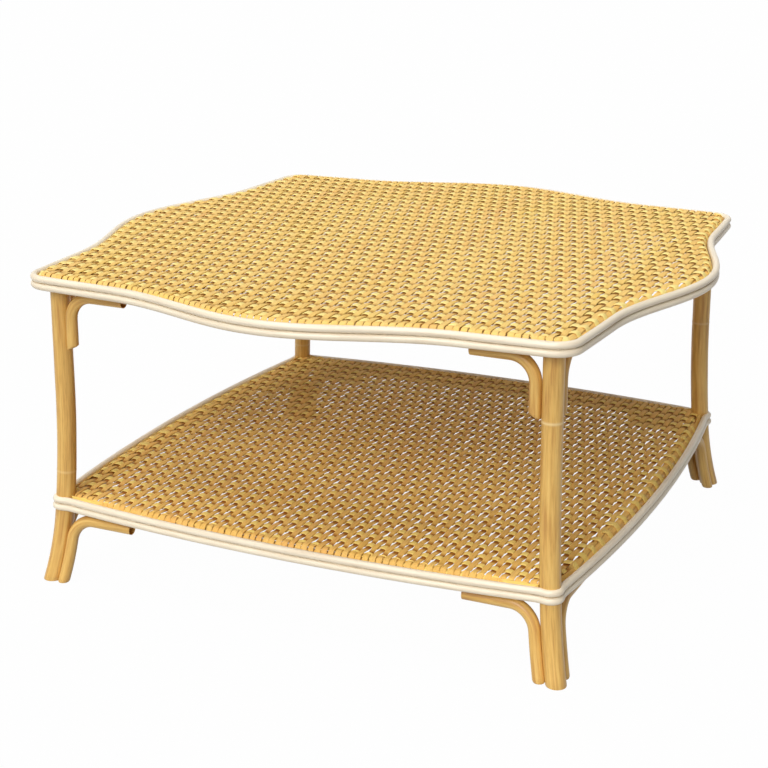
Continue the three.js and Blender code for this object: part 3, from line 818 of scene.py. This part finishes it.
def strand_stations(panel, strand, parity, across, cross_pitch):
    """Half of every strand, from the middle of the panel to its rim.

    Gives, at each station and point of the section, how far along the strand and how high it is, how deep
    in the weave from 0 to 1 as the share of painted shade in the hollows, and how much the strand has
    spread."""
    section_heights = strand["thickness"] / 2 * reed_heights
    flat_end, end, cut = panel.ends(across, strand["pitch"])
    step = cross_pitch / stations_per_crossing
    flat = np.arange(0, panel.reach + step, step)[None, :, None]
    bends = np.sin(shoulder_turns)[None, :, None]
    run = np.concatenate([np.minimum(flat, flat_end), flat_end + bends * (end - flat_end)], axis=1)
    turning = np.arange(run.shape[1])[None, :, None] >= flat.shape[1]
    inset = panel.inset_of(np.broadcast_to(across[:, None, :], run.shape), run)
    turn = np.arcsin(np.clip((panel.pole_inset - inset) / panel.shoulder, 0, 1))
    blend = np.where(cut, 0, smooth_step(turn / rim_turn))

    # A flattened cosine goes over and under; at the rim, strands that cross the pole lie on top
    wave = np.cos(np.pi * (run / cross_pitch))
    wave = parity * (wave * (1.5 - 0.5 * wave**2))
    from_rim = np.where(cut, 1, smooth_step((inset - panel.pole_inset) / rim_margin))
    over_rim = np.where(run > np.abs(across[:, None, :]), 1, -1)
    weaving = wave * from_rim + over_rim * (1 - from_rim)
    rise_flat = panel.middle_rise + strand["wave"] * weaving + section_heights
    rise_wrap = panel.wrap_rise + section_heights * wrap_layer / strand["thickness"]
    radius = panel.pole_radius + (rise_flat * (1 - blend) + rise_wrap * blend)

    # Past its crown, the strand follows the pole round and then hangs straight down
    stretch = radius / panel.shoulder
    run = np.where(turning, flat_end + (run - flat_end) * stretch, run)
    beyond = np.clip(panel.pole_inset - inset, 0, None) * np.where(turning, stretch, 1)
    fall = np.sqrt(np.clip(radius**2 - np.minimum(beyond, radius) ** 2, 0, None))
    heights = panel.pole_height + np.where(cut, radius, fall)
    last_height = np.where(cut, heights[:, -1:], panel.wrap_end)
    heights[:, -1:] = np.where(cut, heights[:, -1:], panel.pole_height)
    heights = np.concatenate([heights, last_height], axis=1)
    # How deep the strand dips under the crossing strands: the share of painted shade in its hollows
    hollow_shade = (1 - wave) / 2 * from_rim
    spread = 1 + rim_spread * blend
    run, hollow_shade, spread = (np.concatenate([part, part[:, -1:]], axis=1) for part in (run, hollow_shade, spread))
    return run, heights, hollow_shade, spread


def make_strands(panel, heading, strand, cross_pitch, skin):
    """All the strands of a panel that run one way, which rise and dip at each crossing."""
    count = int(panel.reach / strand["pitch"])
    number = np.arange(-count, count + 1)
    middles = number * strand["pitch"]
    kept = panel.inset_of(middles, 0 * middles) > panel.exit_inset + strand["width"]
    number, middles = number[kept], middles[kept]
    drift = chance.uniform(-strand_drift, strand_drift, len(number))
    scale = chance.uniform(*strand_scales, len(number))
    across = middles[:, None] + drift[:, None] + strand["width"] / 2 * reed_places * scale[:, None]
    parity = np.where(number % 2 == 0, 1, -1)[:, None, None] * heading
    half = strand_stations(panel, strand, parity, across, cross_pitch)
    run, heights, hollow_shade, spread = (
        np.concatenate([sign * part[:, ::-1], part[:, 1:]], axis=1)
        for sign, part in zip((-1, 1, 1, 1), half)
    )
    middle_lines = (middles + drift)[:, None, None]
    sideways = middle_lines + (across[:, None, :] - middle_lines) * spread
    sideways = sideways + sum(
        size * np.sin(run * waves + (number * shift)[:, None, None]) for size, waves, shift in strand_sways
    )
    flat_places = (sideways, run) if heading > 0 else (run, sideways)
    vertices = np.stack([*flat_places, heights], -1)
    strands, stations, corners_round = vertices.shape[:3]
    faces = strand_faces(strands, stations, corners_round, heading)
    name = f"{panel.tier}_strands_{'lengthwise' if heading > 0 else 'crosswise'}"
    made = mesh_object(name, vertices.reshape(-1, 3).tolist(), faces.tolist(), [skin])
    tone = np.repeat(chance.uniform(0, 1, strands), stations * corners_round)
    set_attribute(made.data, "strand", "FLOAT", "value", tone)
    # The share of painted shade in the hollows, read by the cane materials
    set_attribute(made.data, "hollow_shade", "FLOAT", "value", hollow_shade)
    weld(made)
    made.data.shade_smooth()
    made.data.set_sharp_from_angle(angle=strand_sharp_angle)
    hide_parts(f"{panel.tier}_woven_panel")
    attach(made, "root")


def strand_faces(strands, stations, around, heading):
    """Quads along every strand, and fans over both of its ends, as one array of four corners."""
    strand = np.arange(strands)[:, None, None] * stations * around
    station = np.arange(stations - 1)[None, :, None] * around
    corner = np.arange(around)[None, None, :]
    following = (corner + 1) % around
    a, b = strand + station + corner, strand + station + following
    quads = np.stack([a, b, b + around, a + around], -1).reshape(-1, 4)
    caps = []
    for end, flip in ((0, False), (stations - 1, True)):
        ring = np.arange(strands)[:, None] * stations * around + end * around
        for a, b, c, d in ((0, 1, 2, 7), (7, 2, 3, 6), (6, 3, 4, 5)):
            cap = np.concatenate([ring + a, ring + b, ring + c, ring + d], axis=1)
            caps.append(cap[:, ::-1] if flip else cap)
    faces = np.concatenate([quads, *caps])
    return faces[:, ::-1] if heading > 0 else faces


def weld(made):
    """Merges the vertices that fell together where strands were cut short."""
    mesh = bmesh.new()
    mesh.from_mesh(made.data)
    bmesh.ops.remove_doubles(mesh, verts=mesh.verts, dist=weld_distance)
    bmesh.ops.dissolve_degenerate(mesh, edges=mesh.edges, dist=weld_distance / 2)
    mesh.to_mesh(made.data)
    mesh.free()


# Stage

floor_reach = 12
floor_grey = 0.45
floor_roughness = 0.9
floor_whiteness = 0.985
world_strength = 0.14

# Lamps, as their name, place, softness and strength
lamps = (
    ("overhead", (-0.4, -0.8, 3.4), math.radians(40), 1.8),
    ("front", (0.1, -3.6, 2.2), math.radians(30), 2.05),
)

# The camera that sees what the photograph shows
camera_place = (1.04488, -2.33434, 1.08642)
camera_pitch = math.radians(90 - 15.379)
camera_turn = math.radians(24.835)
camera_lens = 79.07
camera_shift = -0.109
sensor_width = 36


def math_node(tree, operation, first, second):
    made = tree.nodes.new("ShaderNodeMath")
    made.operation = operation
    tree.links.new(first, made.inputs[0])
    if isinstance(second, bpy.types.NodeSocket):
        tree.links.new(second, made.inputs[1])
    else:
        made.inputs[1].default_value = second
    return made.outputs[0]


def white_where_seen(tree, shader, output, kind, share):
    """Mixes plain white into a shader for camera, glossy and transmission rays."""
    rays = tree.nodes.new("ShaderNodeLightPath").outputs
    seen = math_node(tree, "MAXIMUM", rays["Is Camera Ray"], rays["Is Glossy Ray"])
    seen = math_node(tree, "MAXIMUM", seen, rays["Is Transmission Ray"])
    seen = math_node(tree, "MULTIPLY", seen, share)
    white = tree.nodes.new(kind)
    white.inputs["Strength"].default_value = 1
    white.inputs["Color"].default_value = grey(1)
    mixed = tree.nodes.new("ShaderNodeMixShader")
    tree.links.new(seen, mixed.inputs[0])
    tree.links.new(shader.outputs[0], mixed.inputs[1])
    tree.links.new(white.outputs[0], mixed.inputs[2])
    tree.links.new(mixed.outputs[0], output.inputs["Surface"])


def make_floor():
    corner_signs = ((-1, -1), (1, -1), (1, 1), (-1, 1))
    places = [(x * floor_reach, y * floor_reach, 0) for x, y in corner_signs]
    floor = mesh_object("floor", places, [(0, 1, 2, 3)], [])
    material = bpy.data.materials.new("floor_white")
    material.use_nodes = True
    nodes = material.node_tree.nodes
    shader = nodes["Principled BSDF"]
    shader.inputs["Base Color"].default_value = grey(floor_grey)
    shader.inputs["Roughness"].default_value = floor_roughness
    output = nodes["Material Output"]
    white_where_seen(material.node_tree, shader, output, "ShaderNodeEmission", floor_whiteness)
    floor.data.materials.append(material)


def make_world():
    world = bpy.data.worlds.new("studio")
    bpy.context.scene.world = world
    world.use_nodes = True
    tree = world.node_tree
    ambient = tree.nodes["Background"]
    ambient.inputs["Color"].default_value = grey(1)
    ambient.inputs["Strength"].default_value = world_strength
    white_where_seen(tree, ambient, tree.nodes["World Output"], "ShaderNodeBackground", 1)


def make_lamp(name, place, softness, strength):
    """A distant soft light that shines from a place towards the origin."""
    data = bpy.data.lights.new(name, "SUN")
    data.angle = softness
    data.energy = strength
    lamp = bpy.data.objects.new(name, data)
    bpy.context.scene.collection.objects.link(lamp)
    lamp.location = place
    lamp.rotation_euler = (-Vector(place)).to_track_quat("-Z", "Y").to_euler()


def make_camera():
    data = bpy.data.cameras.new("camera")
    camera = bpy.data.objects.new("camera", data)
    bpy.context.scene.collection.objects.link(camera)
    data.sensor_width = sensor_width
    data.lens = camera_lens
    data.shift_y = camera_shift
    camera.location = camera_place
    camera.rotation_euler = (camera_pitch, 0, camera_turn)
    bpy.context.scene.camera = camera
    bpy.context.scene.view_settings.view_transform = "Standard"


# Everything together, with its materials

bark = pole_material(
    "bark", (srgb(198, 146, 74), srgb(222, 176, 94), srgb(234, 192, 110)), srgb(236, 206, 148)
)
cream = pole_material(
    "cream_core",
    (srgb(230, 213, 186), srgb(238, 224, 199), srgb(241, 229, 205)),
    srgb(230, 213, 186),
    streak_strength=0.3,
)
edge_cane = pole_material(
    "edge_cane", (srgb(232, 186, 96), srgb(246, 206, 110), srgb(252, 218, 126)), srgb(244, 210, 140)
)
cut_end = cut_end_material()

# Noise scales of the cane's fibres and patches, for strands along Y and along X
along_y = ((900, 22, 300), (30, 9, 30))
along_x = ((22, 900, 300), (9, 30, 30))
# The last colour of each cane is the painted shade of the hollows where its strands dip under the crossing
# ones
panel_canes = {
    "top": (
        cane_material("top_cane_lengthwise", *along_y, srgb(230, 178, 98), 0.35, srgb(176, 148, 108)),
        cane_material("top_cane_crosswise", *along_x, srgb(255, 242, 160), 0.5, srgb(206, 184, 142)),
    ),
    "shelf": (
        cane_material("shelf_cane_lengthwise", *along_y, srgb(232, 172, 82), 0.55, srgb(182, 146, 98)),
        cane_material("shelf_cane_crosswise", *along_x, srgb(255, 224, 124), 0.65, srgb(204, 174, 120)),
    ),
}
steel = screw_material()

for corner in corners:
    make_leg(corner)
    for tier in ("top", "shelf"):
        for along in ("x", "y"):
            make_brace(corner, along, tier)
            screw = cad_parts[f"{tier}_screw_{corner}_{along}"]
            screw.data.materials.clear()
            screw.data.materials.append(steel)
make_rails_and_poles()
for tier, loop, height in (
    ("top", lambda z: top_loop(0, z), top_rim_height),
    ("shelf", shelf_rim_loop, shelf_rim_height),
):
    make_rim_rod(f"cream_{tier}_rod_upper", loop(height), f"{tier}_rim_rod_upper")
    make_rim_rod(f"cream_{tier}_rod_lower", loop(height - rod_pitch), f"{tier}_rim_rod_lower")

top_reach = top_rim_at_leg + top_bow + swell_height
shelf_reach = shelf_leg_reach + shelf_bow
for panel in (
    Panel("top", inset_in_top, table_height, edge_pole_radius, top_reach, False),
    Panel("shelf", inset_in_shelf, shelf_height, shelf_pole_radius, shelf_reach, True),
):
    along_table, across_table = panel_canes[panel.tier]
    make_strands(panel, 1, lengthwise, crosswise["pitch"], along_table)
    make_strands(panel, -1, crosswise, lengthwise["pitch"], across_table)

make_floor()
make_world()
for lamp in lamps:
    make_lamp(*lamp)
make_camera()
